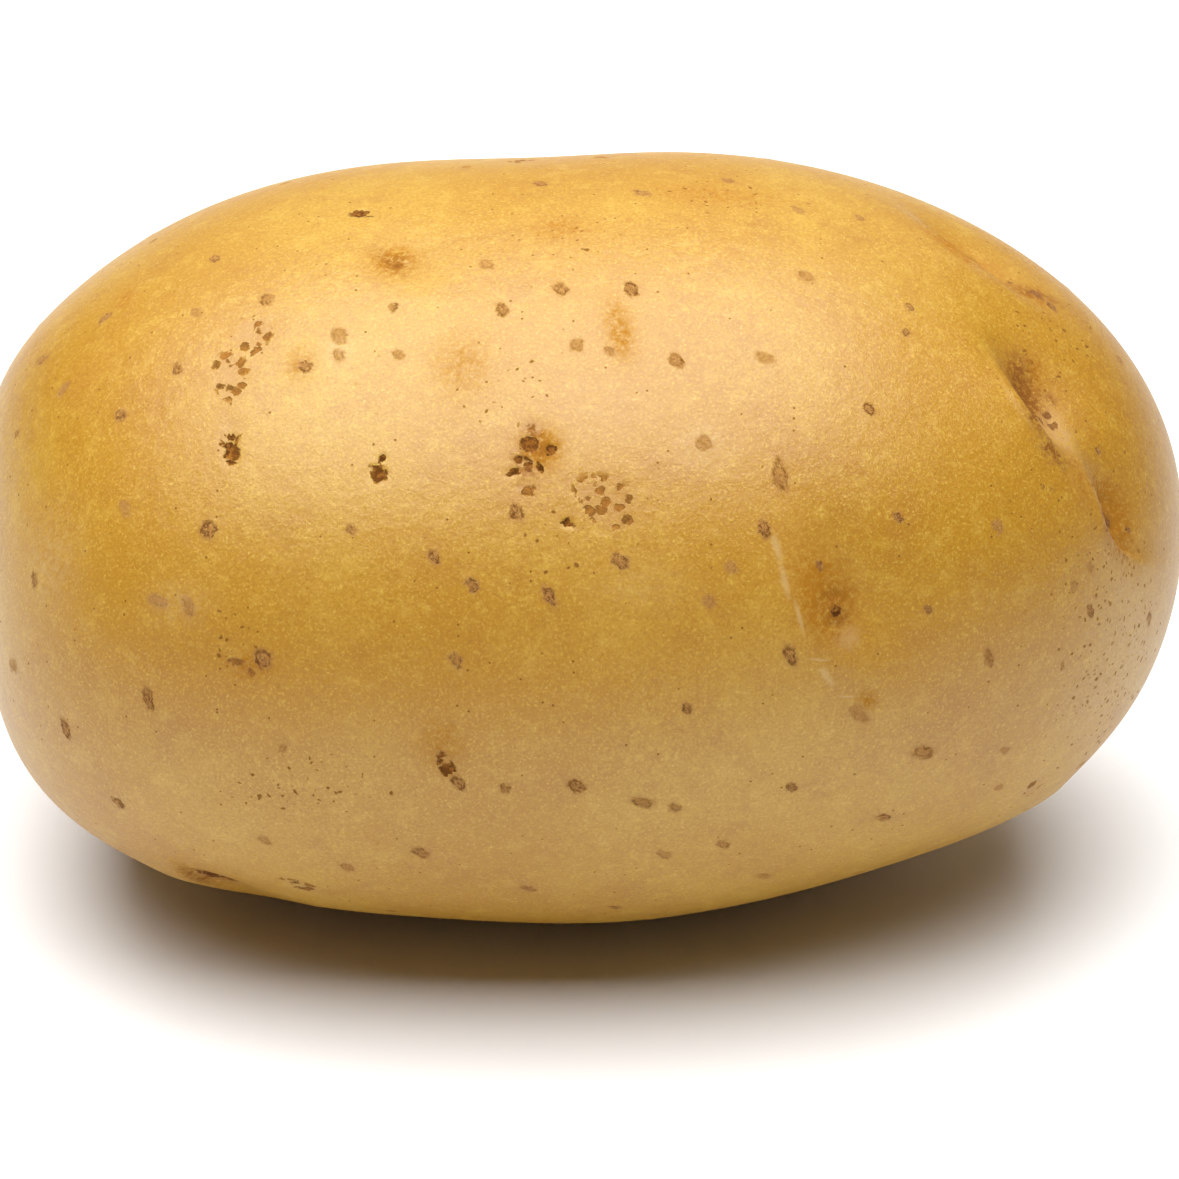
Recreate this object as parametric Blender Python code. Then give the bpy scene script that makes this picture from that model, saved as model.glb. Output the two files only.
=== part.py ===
"""A long oval table potato, whole and unpeeled, lying on the small flat spot it rests on.

Run it with: blender --background --python part.py

The tuber is one solid, grown as one piece. +X runs from the heel, where it hung on the plant,
to the rose end, where most of its eyes are. +Z is up and -Y is its front. The origin is on the
flat spot, under the middle of the tuber's length and width.

Places on the skin are given as on a globe that is stretched to the tuber's size: `lat` in
degrees from the waist towards the rose tip (90) or the heel tip (-90), and `turn` in degrees
round the long axis, from the top (0) over the front (90) to the underside (180).
"""

from dataclasses import dataclass

import bmesh
import bpy
import numpy as np

# Driving dimensions, in metres.
LENGTH = 0.1000
WIDTH = 0.0700
HEIGHT = 0.0620
REST_SPOT_DEPTH = 0.0005  # how much of the round belly the flat spot takes off

# How blunt each end is: 2 is an ellipse, and a higher number is blunter.
HEEL_BLUNTNESS = 2.9
ROSE_BLUNTNESS = 2.05
# The rose end rides this much higher than the waist, and the heel as much lower.
ROSE_LIFT = 0.0018

FACES_PER_EDGE = 28  # of the cube that is blown up into the tuber

SKIN_COLOUR = (0.57, 0.31, 0.075, 1.0)
SKIN_ROUGHNESS = 0.48


@dataclass(frozen=True)
class Swell:
    """A broad rise of the skin, or a broad hollow where the height is negative."""

    name: str
    lat: float
    turn: float
    height: float
    reach: float


@dataclass(frozen=True)
class Eye:
    """A bud's hollow: a short steep brow on the heel side, and a long slope on the rose side."""

    name: str
    lat: float
    turn: float
    lean: float  # of the brow, in degrees off square to the tuber's length
    depth: float
    across: float  # half the brow's length
    along: float  # how far the hollow runs out from the brow


SWELLS = (
    Swell("top_behind_waist", -16, -30, 0.0005, 0.021),
    Swell("top_dip", -4, -30, -0.0007, 0.012),
    Swell("heel_top_shoulder", -54, -20, -0.0010, 0.013),
    Swell("heel_top_cheek", -66, -10, 0.0016, 0.012),
    Swell("heel_low_cheek", -62, 150, 0.0008, 0.013),
    Swell("heel_underside", -41, 165, -0.0013, 0.019),
    Swell("waist_underside", -15, 160, -0.0014, 0.020),
    Swell("rose_low_cheek", 52, 150, 0.0020, 0.013),
    Swell("belly_front", -2, 140, 0.0006, 0.012),
    Swell("rose_basin", 45, 18, -0.0008, 0.011),
    Swell("heel_cheek", -50, 75, 0.0004, 0.012),
    Swell("back_cheek", 20, -95, 0.0007, 0.018),
    Swell("back_dip", -14, -100, -0.0008, 0.014),
)

EYES = (
    Eye("rose_upper", 39, -6, 58, 0.0013, 0.0056, 0.0046),
    Eye("rose_front", 48, 30, 46, 0.0021, 0.0056, 0.0046),
    Eye("rose_low", 58.5, 54, 26, 0.0016, 0.0050, 0.0036),
    Eye("belly", 24, 70, 27, 0.0010, 0.0054, 0.0046),
    Eye("shoulder", -17.5, 11.5, 30, 0.0007, 0.0044, 0.0042),
    Eye("heel_low", -34, 135, 25, 0.0012, 0.0050, 0.0044),
    Eye("rose_tip", 76, -120, 20, 0.0012, 0.0050, 0.0040),
    Eye("rose_back", 50, -74, 35, 0.0015, 0.0058, 0.0048),
    Eye("rose_under", 55, 158, 25, 0.0012, 0.0050, 0.0044),
    Eye("back_waist", 9, -72, 30, 0.0012, 0.0056, 0.0048),
    Eye("back_heel", -36, -58, 25, 0.0011, 0.0052, 0.0046),
    Eye("under_back", -12, -134, 30, 0.0010, 0.0050, 0.0044),
)

# The scar that the stolon left at the heel tip, off the middle as it grows.
STOLON_LAT = -84
STOLON_TURN = 40
STOLON_DEPTH = 0.0015
STOLON_REACH = 0.0042

BROW_RISE = 0.22  # the brow stands up by this share of the eye's depth
BROW_FALL = 0.0028  # the skin falls from the brow to the hollow's floor over this distance
BROW_SET_BACK = 0.6  # the brow's crest is this share of the fall behind the hollow's edge
BROW_CURL = 26.0  # how much the brow's ends curl round the hollow, in 1/metre


def ball_direction(lat, turn):
    """The unit vector, on the ball that is stretched into the tuber, of one place."""
    lat, turn = np.radians(lat), np.radians(turn)
    return np.array([np.sin(lat), -np.cos(lat) * np.sin(turn), np.cos(lat) * np.cos(turn)])


def body_points(directions):
    """Where the plain long body's skin is, with neither swells nor eyes."""
    towards_tip = np.abs(directions[:, 0])
    off_axis = np.hypot(directions[:, 1], directions[:, 2])
    bluntness = np.where(directions[:, 0] < 0, HEEL_BLUNTNESS, ROSE_BLUNTNESS)
    reach = (towards_tip**bluntness + off_axis**bluntness) ** (-1 / bluntness)
    half_sizes = np.array([LENGTH, WIDTH, HEIGHT]) / 2
    points = directions * reach[:, None] * half_sizes
    points[:, 2] += ROSE_LIFT * np.sin(np.pi * points[:, 0] / LENGTH)
    return points


def outward_normals(directions):
    """The outward normals of the stretched ball, which are near enough the skin's own."""
    normals = directions / np.array([LENGTH, WIDTH, HEIGHT])
    return normals / np.linalg.norm(normals, axis=1)[:, None]


def swollen_points(directions):
    """The body's skin with its swells and broad hollows."""
    points = body_points(directions)
    rise = np.zeros(len(points))
    for swell in SWELLS:
        centre = body_points(ball_direction(swell.lat, swell.turn)[None])[0]
        distance = np.linalg.norm(points - centre, axis=1)
        rise += swell.height * np.exp(-((distance / swell.reach) ** 2))
    return points + outward_normals(directions) * rise[:, None]


def smooth_step(values):
    """0 below 0, 1 above 1, and a smooth S between."""
    t = np.clip(values, 0, 1)
    return t * t * (3 - 2 * t)


def eye_axes(direction, lean):
    """The axes of one eye: out of the skin, from its brow into its hollow, and along its brow."""
    outward = outward_normals(direction[None])[0]
    roseward = np.array([1.0, 0.0, 0.0]) - outward * outward[0]
    roseward /= np.linalg.norm(roseward)
    lean = np.radians(lean)
    inward = np.cos(lean) * roseward + np.sin(lean) * np.cross(outward, roseward)
    return outward, inward, np.cross(outward, inward)


def eye_rise(points, eye):
    """How far one eye moves each point of the skin: down in its hollow, and up on its brow."""
    direction = ball_direction(eye.lat, eye.turn)
    outward, inward, sideways = eye_axes(direction, eye.lean)
    offset = points - swollen_points(direction[None])[0]
    side = offset @ sideways
    along = offset @ inward - BROW_CURL * side**2 + eye.along / 2
    hollow = smooth_step(along / BROW_FALL) * np.exp(-((along / eye.along) ** 2) / 2)
    brow = BROW_RISE * np.exp(-((along / BROW_FALL + BROW_SET_BACK) ** 2))
    nearness = np.exp(-((side / eye.across) ** 2) - (offset @ outward / (2 * eye.across)) ** 2)
    return eye.depth * (brow - hollow) * nearness


def skin_points(directions):
    """The tuber's skin in the ball's own frame, before it is set down on its flat spot."""
    points = swollen_points(directions)
    rise = sum(eye_rise(points, eye) for eye in EYES)
    scar = swollen_points(ball_direction(STOLON_LAT, STOLON_TURN)[None])[0]
    distance = np.linalg.norm(points - scar, axis=1)
    rise -= STOLON_DEPTH * np.exp(-((distance / STOLON_REACH) ** 2))
    return points + outward_normals(directions) * rise[:, None]


def set_down(points):
    """Centres the tuber over the origin, gives it its exact size and flattens the spot it rests on."""
    low, high = points.min(axis=0), points.max(axis=0)
    low[2] += REST_SPOT_DEPTH
    size = np.array([LENGTH, WIDTH, HEIGHT])
    centre = np.array([(low[0] + high[0]) / 2, (low[1] + high[1]) / 2, low[2]])
    placed = (points - centre) * size / (high - low)
    placed[:, 2] = np.maximum(placed[:, 2], 0)
    return placed


def blown_up_cube():
    """A cube with even square faces, blown up into a ball: it has no poles."""
    mesh = bmesh.new()
    bmesh.ops.create_cube(mesh, size=2)
    cuts = FACES_PER_EDGE - 1
    bmesh.ops.subdivide_edges(mesh, edges=mesh.edges[:], cuts=cuts, use_grid_fill=True)
    for vert in mesh.verts:
        # The tangent spreads the faces evenly over the ball.
        spread = np.tan(np.array(vert.co) * np.pi / 4)
        vert.co = spread / np.linalg.norm(spread)
    return mesh


def join_rest_spot(mesh):
    """Makes the flat spot one face."""
    flat = [face for face in mesh.faces if all(vert.co.z == 0 for vert in face.verts)]
    bmesh.ops.dissolve_faces(mesh, faces=flat, use_verts=False)


def skin_material():
    """Yellow-brown potato skin."""
    material = bpy.data.materials.new("potato_skin")
    material.use_nodes = True
    shader = material.node_tree.nodes["Principled BSDF"]
    shader.inputs["Base Color"].default_value = SKIN_COLOUR
    shader.inputs["Roughness"].default_value = SKIN_ROUGHNESS
    shader.inputs["Metallic"].default_value = 0.0
    return material


def make_potato():
    """The whole tuber as one object."""
    ball = blown_up_cube()
    directions = np.array([vert.co for vert in ball.verts])
    for vert, place in zip(ball.verts, set_down(skin_points(directions))):
        vert.co = place
    join_rest_spot(ball)
    bmesh.ops.recalc_face_normals(ball, faces=ball.faces[:])
    mesh = bpy.data.meshes.new("potato")
    ball.to_mesh(mesh)
    ball.free()
    mesh.shade_smooth()
    mesh.materials.append(skin_material())
    potato = bpy.data.objects.new("potato", mesh)
    bpy.context.scene.collection.objects.link(potato)
    return potato


def main():
    for old in list(bpy.data.objects):
        bpy.data.objects.remove(old)
    make_potato()


main()
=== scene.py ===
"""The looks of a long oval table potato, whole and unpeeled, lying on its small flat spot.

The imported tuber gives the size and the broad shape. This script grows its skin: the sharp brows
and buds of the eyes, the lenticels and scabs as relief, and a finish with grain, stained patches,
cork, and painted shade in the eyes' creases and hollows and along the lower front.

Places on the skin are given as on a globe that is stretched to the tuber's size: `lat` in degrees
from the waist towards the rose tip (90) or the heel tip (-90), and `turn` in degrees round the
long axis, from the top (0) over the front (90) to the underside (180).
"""

import logging
import math
from dataclasses import dataclass, field
from enum import Enum
from typing import Any

import bmesh
import bpy
import numpy as np
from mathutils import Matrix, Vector
from mathutils.bvhtree import BVHTree


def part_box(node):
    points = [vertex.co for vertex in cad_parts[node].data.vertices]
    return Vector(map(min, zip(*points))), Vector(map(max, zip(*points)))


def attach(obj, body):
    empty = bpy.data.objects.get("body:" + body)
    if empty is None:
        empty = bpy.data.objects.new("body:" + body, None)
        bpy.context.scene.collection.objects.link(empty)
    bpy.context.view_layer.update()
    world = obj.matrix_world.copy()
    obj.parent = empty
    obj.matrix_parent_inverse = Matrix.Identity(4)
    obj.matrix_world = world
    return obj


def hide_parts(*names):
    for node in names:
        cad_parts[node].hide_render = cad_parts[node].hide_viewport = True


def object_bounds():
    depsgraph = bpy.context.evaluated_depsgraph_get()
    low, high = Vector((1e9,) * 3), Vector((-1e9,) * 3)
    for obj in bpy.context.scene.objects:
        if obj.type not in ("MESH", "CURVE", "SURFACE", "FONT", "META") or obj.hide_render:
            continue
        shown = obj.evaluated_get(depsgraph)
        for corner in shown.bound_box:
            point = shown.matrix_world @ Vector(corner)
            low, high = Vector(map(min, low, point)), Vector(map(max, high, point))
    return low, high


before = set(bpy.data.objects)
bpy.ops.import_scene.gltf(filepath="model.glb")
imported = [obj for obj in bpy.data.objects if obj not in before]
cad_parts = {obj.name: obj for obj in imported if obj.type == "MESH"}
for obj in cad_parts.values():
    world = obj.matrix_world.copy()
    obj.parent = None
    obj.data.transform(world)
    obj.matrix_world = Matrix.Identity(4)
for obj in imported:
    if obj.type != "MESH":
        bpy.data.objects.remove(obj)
CAD_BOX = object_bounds()

LOG = logging.getLogger("potato")
TUBER_NODE = "potato"
MM = 0.001

Colour = tuple[float, float, float, float]
Socket = bpy.types.NodeSocket


def smooth_step(values: np.ndarray) -> np.ndarray:
    """Gives 0 below 0, 1 above 1, and a smooth S between."""
    share = np.clip(values, 0, 1)
    return share * share * (3 - 2 * share)


def link_object(name: str, data: Any) -> bpy.types.Object:
    """Makes an object and puts it in the scene.

    Args:
        name: The object's name.
        data: Its mesh, light or camera.

    Returns:
        The object.
    """
    made = bpy.data.objects.new(name, data)
    bpy.context.scene.collection.objects.link(made)
    return made


def store(mesh: bpy.types.Mesh, name: str, values: np.ndarray) -> None:
    """Stores a number or a vector for each of a mesh's points."""
    kind, key = ("FLOAT_VECTOR", "vector") if values.ndim > 1 else ("FLOAT", "value")
    mesh.attributes.new(name, kind, "POINT").data.foreach_set(key, values.ravel())


# ---- places on the skin


@dataclass(frozen=True)
class Place:
    """A spot on the skin, by its lat and turn in degrees."""

    lat: float
    turn: float

    def ball_direction(self) -> Vector:
        """The unit vector of the place on the ball that is stretched into the tuber."""
        lat, turn = math.radians(self.lat), math.radians(self.turn)
        return Vector(
            (math.sin(lat), -math.cos(lat) * math.sin(turn), math.cos(lat) * math.cos(turn))
        )


@dataclass(frozen=True)
class SkinAxes:
    """Where a place lies, and three axes there: out of the skin, and two along it.

    With no lean, `inward` points along the skin towards the rose tip.
    """

    middle: np.ndarray
    outward: np.ndarray
    inward: np.ndarray
    sideways: np.ndarray


class SkinMap:
    """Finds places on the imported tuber."""

    def __init__(self, node: bpy.types.Object) -> None:
        """Keeps the node's box and a search tree of its faces.

        Args:
            node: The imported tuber.
        """
        low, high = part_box(node.name)
        self.middle: Vector = (low + high) / 2
        self.half_sizes: Vector = (high - low) / 2
        faces = bmesh.new()
        faces.from_mesh(node.data)
        self.faces = BVHTree.FromBMesh(faces)
        faces.free()

    def axes(self, place: Place, lean: float = 0.0) -> SkinAxes:
        """Finds a place and the axes of the skin there.

        Args:
            place: The spot on the skin.
            lean: How far the two axes along the skin are turned, in degrees.

        Returns:
            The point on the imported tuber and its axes.
        """
        ball = place.ball_direction()
        stretched = Vector(b * h for b, h in zip(ball, self.half_sizes))
        point = self.faces.ray_cast(self.middle, stretched.normalized())[0]
        outward = Vector(b / h for b, h in zip(ball, self.half_sizes)).normalized()
        roseward = (Vector((1, 0, 0)) - outward * outward.x).normalized()
        turned = math.radians(lean)
        inward = math.cos(turned) * roseward + math.sin(turned) * outward.cross(roseward)
        sideways = outward.cross(inward)
        return SkinAxes(*(np.array(v) for v in (point, outward, inward, sideways)))


# ---- eyes


@dataclass(frozen=True)
class Eye:
    """A bud's hollow: a sharp curled brow on the heel side, and the bud just inside it.

    Sizes are in millimetres. `lean` turns the brow, in degrees, and `curl_up` and `curl_down` are
    how much its two ends curl round the hollow.
    """

    name: str
    place: Place
    lean: float
    fold: float
    across: float
    along: float
    warmth: float = 1.0
    bud: float = 1.0
    curl_up: float = 0.026
    curl_down: float = 0.026

    FALL = 0.8  # the skin falls from the brow to the hollow's floor over this distance
    LIP = 0.28  # how far the brow stands up, as a share of the fold
    BUD_INSIDE = 1.7  # how far the bud is inside the brow
    BUD_HEIGHT = 0.22

    def local(self, points: np.ndarray, skin: SkinMap) -> tuple[np.ndarray, np.ndarray, np.ndarray]:
        """Measures points from the eye's brow.

        Args:
            points: Points on the skin, in metres.
            skin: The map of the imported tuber.

        Returns:
            How far each point is inside the brow, how far along it, and how near the eye it is
            from 0 to 1, the first two in millimetres.
        """
        axes = skin.axes(self.place, self.lean)
        offset = (points - axes.middle) / MM
        side = offset @ axes.sideways
        curl = np.where(side > 0, self.curl_up, self.curl_down)
        inside = offset @ axes.inward - curl * side**2 + self.along / 2
        depth = offset @ axes.outward
        near = np.exp(-((side / self.across) ** 2) - (depth / (2 * self.across)) ** 2)
        return inside, side, near

    def rise(self, points: np.ndarray, skin: SkinMap) -> np.ndarray:
        """Works out how far the eye lifts or sinks the skin, in millimetres.

        Args:
            points: Points on the skin, in metres.
            skin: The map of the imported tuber.

        Returns:
            The rise of each point.
        """
        inside, side, near = self.local(points, skin)
        hollow = smooth_step(inside / self.FALL) * np.exp(-np.maximum(inside, 0) / self.along)
        lip = self.LIP * np.exp(-(((inside + 0.55) / 0.6) ** 2))
        bud_distance = np.hypot(inside - self.BUD_INSIDE, side)
        ring = np.exp(-(((bud_distance - 1.3) / 0.4) ** 2))
        bud = np.exp(-((bud_distance / 0.8) ** 2)) - 0.5 * ring
        return self.fold * (lip - hollow) * near + self.BUD_HEIGHT * self.bud * bud * near

    def stain_and_shade(self, points: np.ndarray, skin: SkinMap) -> tuple[np.ndarray, np.ndarray]:
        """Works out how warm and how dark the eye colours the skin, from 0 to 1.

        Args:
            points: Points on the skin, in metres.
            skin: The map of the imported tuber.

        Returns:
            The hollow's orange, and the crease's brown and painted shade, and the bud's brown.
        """
        inside, side, near = self.local(points, skin)
        warm = np.exp(-((np.maximum(inside, 0) / self.along) ** 2))
        warm *= smooth_step((inside + 0.6) / 1.4)
        # Painted shade: the skin just inside the brow is darkened where the fold's shade falls,
        # over its brown.
        crease = np.exp(-(((inside - 0.5) / 0.55) ** 2))
        bud_distance = np.hypot(inside - self.BUD_INSIDE, side)
        bud = self.bud * np.exp(-((bud_distance / 0.75) ** 2))
        return self.warmth * warm * near, self.warmth * (0.8 * crease + bud) * near**2


EYES = (
    Eye("rose_upper", Place(39, -6), 58, 0.60, 4.2, 3.4, 1.0, 0.6),
    Eye("rose_front", Place(46.8, 30.5), 44, 1.1, 3.3, 3.6, 1.2, 0.3, 0.06, 0.03),
    Eye("rose_low", Place(58.5, 54), 26, 1.1, 3.8, 3.2, 1.4, 0.8, 0.03, 0.20),
    Eye("belly", Place(24, 70), 27, 0.06, 5.6, 3.8, 0.0, 0.7),
    Eye("shoulder", Place(-17.5, 11.5), 30, 0.10, 2.8, 2.6, 0.8, 0.5),
    Eye("heel_low", Place(-34, 135), 25, 0.40, 4.2, 3.0, 0.9, 0.8),
    Eye("rose_tip", Place(76, -120), 20, 0.45, 4.2, 3.2, 0.9, 1.0),
    Eye("rose_back", Place(50, -74), 35, 0.50, 4.8, 3.4, 0.9, 1.0),
    Eye("rose_under", Place(55, 158), 25, 0.40, 4.2, 3.2, 0.9, 0.9),
    Eye("back_waist", Place(9, -72), 30, 0.40, 4.8, 3.4, 0.8, 0.9),
    Eye("back_heel", Place(-36, -58), 25, 0.35, 4.4, 3.2, 0.8, 0.8),
    Eye("under_back", Place(-12, -134), 30, 0.30, 4.2, 3.2, 0.8, 0.8),
)


# ---- marks


class MarkKind(Enum):
    """What a mark is made of: its tone, its brokenness and its rise in millimetres.

    A tone of 0 is pale cork and 1 dark, and -1 is a pale line with no cork.
    """

    LENTICEL = (0.62, 0.0, 0.05)
    FAINT_LENTICEL = (0.28, 0.0, 0.03)
    DARK_LENTICEL = (0.85, 0.0, 0.04)
    SCAB = (1.0, 1.0, -0.20)
    PITS = (0.5, 1.0, -0.06)
    SCRATCH = (-1.0, 0.0, -0.02)


@dataclass(frozen=True)
class Mark:
    """A lenticel, scab or scratch: an oval of cork. Its length and width are in millimetres."""

    kind: MarkKind
    place: Place
    length: float
    width: float
    lean: float


def marks(kind: MarkKind, *rows: tuple[float, float, float, float, float]) -> tuple[Mark, ...]:
    """Makes marks of one kind.

    Args:
        kind: What they are made of.
        rows: The lat, turn, length, width and lean of each.

    Returns:
        The marks.
    """
    return tuple(Mark(kind, Place(lat, turn), *shape) for lat, turn, *shape in rows)


PLACED_MARKS = (
    # The waist's scab and its crumbs, the heel's, and the bark under the heel
    *marks(
        MarkKind.SCAB,
        (-4.8, 45, 1.7, 1.5, 120), (-3, 46, 0.9, 0.8, 90), (-1.3, 56.6, 0.9, 0.6, 150),
        (-18.6, 49, 1.6, 1.3, 100), (-18.3, 47, 0.6, 0.5, 90), (-20.8, -0.7, 2, 1, 160),
        (-32.4, 43, 1.5, 1.4, 100), (-32.1, 45.4, 1.6, 1.2, 110), (23.8, 70.4, 0.8, 0.7, 90),
        (-12.3, 93.6, 2.2, 1.2, 112), (-33.4, 134, 3.6, 1.6, 150), (-5.3, 47.6, 1.5, 0.7, 165),
        (-6.2, 49.2, 1.1, 0.5, 20), (-3.9, 48.6, 0.8, 0.4, 120),
    ),
    *marks(
        MarkKind.PITS,
        (50.2, 31.5, 2, 1.6, 120), (-4.6, 42.6, 1.9, 1.2, 160), (-5.4, 48.6, 2.8, 1.7, 150),
        (-5.2, 51.4, 1.8, 1.2, 160), (-30.6, 24.5, 4, 3, 105), (-32.6, 31.6, 4.8, 2.7, 103),
        (2, 53.6, 5.2, 3.8, 155), (-32.2, 41, 2.2, 1.6, 130), (-25, 125, 3.6, 1.6, 150),
        (-30.6, 79.4, 2.4, 1.2, 163),
    ),
    *marks(
        MarkKind.DARK_LENTICEL,
        (-6, 55, 1.4, 1.2, 106), (-11.2, 96.6, 1.6, 1.1, 124), (-34, 57.5, 1.7, 1.4, 105),
        (-28.5, 77.5, 1.8, 1.5, 115), (-39, 87, 2.1, 0.9, 108), (-48.5, 100.5, 2, 1, 115),
        (-42, 113.5, 1.4, 1, 140), (-13.5, 61.5, 1.3, 0.9, 120), (-10, 65.5, 1.3, 1, 130),
        (-3, 67, 1.8, 0.9, 118), (4.5, 20.5, 1.8, 1.1, 105), (16.5, 57.5, 1.6, 0.9, 105),
        (22, 63, 0.9, 0.8, 110), (19, 76.5, 1.9, 1, 112), (9.5, 84, 1, 0.8, 120),
        (26.5, 38.5, 1.2, 0.9, 150), (29.5, 55.5, 1, 0.8, 130), (29, 113.5, 1.7, 0.9, 140),
        (3.5, 62, 1.6, 1.2, 140), (19.5, 100.5, 1.1, 0.9, 120), (-0.5, 97, 1.6, 1.3, 130),
        (47, -3, 1.1, 0.8, 130), (49, -1, 1.2, 0.8, 130), (59.4, 55.3, 0.8, 0.7, 100),
        (63, 58, 0.5, 0.4, 100), (44, -3, 0.5, 0.4, 100), (57, 36, 0.6, 0.5, 100),
    ),
    *marks(
        MarkKind.LENTICEL,
        (-35, 4, 1.1, 0.9, 110), (-29.5, 17.5, 1.4, 1.1, 110), (-38, 28.5, 1.2, 0.9, 115),
        (-44, 35.5, 1.3, 1.2, 115), (-25.5, 31.5, 1.4, 1, 125), (-17.5, 22, 1, 0.8, 110),
        (-21, 57.5, 0.9, 0.7, 120), (-11.5, 76.5, 1.6, 1, 115), (-7, 97.5, 1.1, 0.9, 120),
        (5.5, 100.5, 2, 1.1, 160), (8.5, 102, 1.2, 0.9, 125), (-21, 116.5, 1.5, 1, 135),
        (-14.5, 111.5, 1.9, 1.1, 135), (8.5, 32.5, 1.5, 1.2, 125), (-7.5, 23.5, 1.6, 1.1, 110),
        (-2, 20, 1.6, 1.2, 112), (18, 49.5, 2.8, 1.3, 99), (13, 111.5, 1.4, 1, 125),
        (-5, 121, 1.6, 0.9, 140), (3, 129, 1.3, 0.8, 140), (40, 82, 1.7, 0.9, 112),
        (33, 99, 2.2, 1.3, 150), (31, 18, 0.8, 0.8, 90), (30.5, 23.5, 0.9, 0.8, 130),
        (5.5, -1.5, 1.5, 1, 140), (13.5, -7, 1.3, 1, 140), (-4, -6, 1.6, 1, 140),
        (33, 71, 0.7, 0.6, 120), (54, 78, 1.3, 0.7, 110), (-54.5, 69, 1.6, 0.7, 100),
    ),
    *marks(
        MarkKind.FAINT_LENTICEL,
        (-22.5, 26.5, 2.1, 1.2, 110), (-22.5, 30, 1.4, 1.1, 120), (-36.5, 17, 1.2, 0.9, 125),
        (-17, 30.5, 1.2, 0.9, 130), (-9, 14.5, 1.5, 1.2, 115), (20.5, 16, 1.6, 1.2, 140),
        (-0.5, 30, 1.3, 1.1, 115), (2.5, 31, 1.2, 0.8, 145), (13.5, 63, 1.1, 1, 120),
        (11.5, 68, 1.2, 1, 120), (7.5, 112.5, 1.5, 1, 130), (17, 124, 1.7, 0.9, 130),
        (40.5, 57, 1.4, 0.9, 115), (20, 0, 1.3, 0.9, 135), (42.5, 106, 1.3, 0.9, 130),
        (42, 118, 1.2, 0.7, 130), (-38.5, 69.5, 1.8, 1, 160), (-35.5, 70, 1.9, 1, 110),
        (-28, 112, 1.3, 1, 140), (11, 45, 1.3, 1.2, 130), (51, 70.5, 1, 0.7, 110),
        (53.5, 66.5, 1.1, 0.7, 110), (26, -1.5, 1, 0.8, 120), (50, 89.5, 0.8, 0.6, 110),
        (26, 87.8, 2.4, 1.3, 125),
    ),
    # Scabs on the sides that face away
    *marks(
        MarkKind.SCAB,
        (14, -58, 1.6, 1.2, 20), (-22, -88, 2.2, 1.4, 60), (34, -128, 1.8, 1.2, 0),
    ),
    *marks(
        MarkKind.PITS,
        (12, -62, 3.6, 2.4, 40), (-38, -100, 4.6, 2.8, 20), (24, -165, 4.4, 3.2, 80),
        (-44, 176, 4.4, 2.8, 0), (46, 126, 2.6, 1.8, 40), (-6, -20, 2.2, 1.6, 30),
    ),
    # The scratch beside the belly's eye, and nicks below it
    *marks(
        MarkKind.SCRATCH,
        (17.6, 59.8, 3, 0.7, 108), (18.4, 65, 3, 0.6, 104), (19.8, 70.6, 3, 0.4, 106),
        (22.4, 80, 3.2, 0.6, 122), (21.8, 77.6, 1.8, 0.2, 172), (24.6, 84.4, 1.6, 0.2, 172),
    ),
)


# ---- patches


class Tint(Enum):
    """What a patch lays over the skin, by its place among the stored tints."""

    OCHRE = 0
    # Dark brown, and painted shade in the eyes' creases and hollows
    UMBER_AND_SHADE = 1
    DUSTY = 2
    SPECKS = 3


@dataclass(frozen=True)
class Patch:
    """A soft-edged patch of tinted skin. Its length and width are in millimetres."""

    tint: Tint
    place: Place
    length: float
    width: float
    lean: float
    strength: float

    def cover(self, points: np.ndarray, skin: SkinMap) -> np.ndarray:
        """Works out how much of the patch covers each point, from 0 to 1.

        Args:
            points: Points on the skin, in metres.
            skin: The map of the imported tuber.

        Returns:
            The cover of each point.
        """
        axes = skin.axes(self.place, self.lean)
        offset = (points - axes.middle) / MM
        along = offset @ axes.inward * 2 / self.length
        across = offset @ axes.sideways * 2 / self.width
        out = offset @ axes.outward * 2 / (self.length + self.width)
        return self.strength * np.exp(-0.9 * (along**2 + across**2 + out**2))


def patches(
    tint: Tint, *rows: tuple[float, float, float, float, float, float]
) -> tuple[Patch, ...]:
    """Makes patches of one tint.

    Args:
        tint: What they lay over the skin.
        rows: The lat, turn, length, width, lean and strength of each.

    Returns:
        The patches.
    """
    return tuple(Patch(tint, Place(lat, turn), *shape) for lat, turn, *shape in rows)


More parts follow.
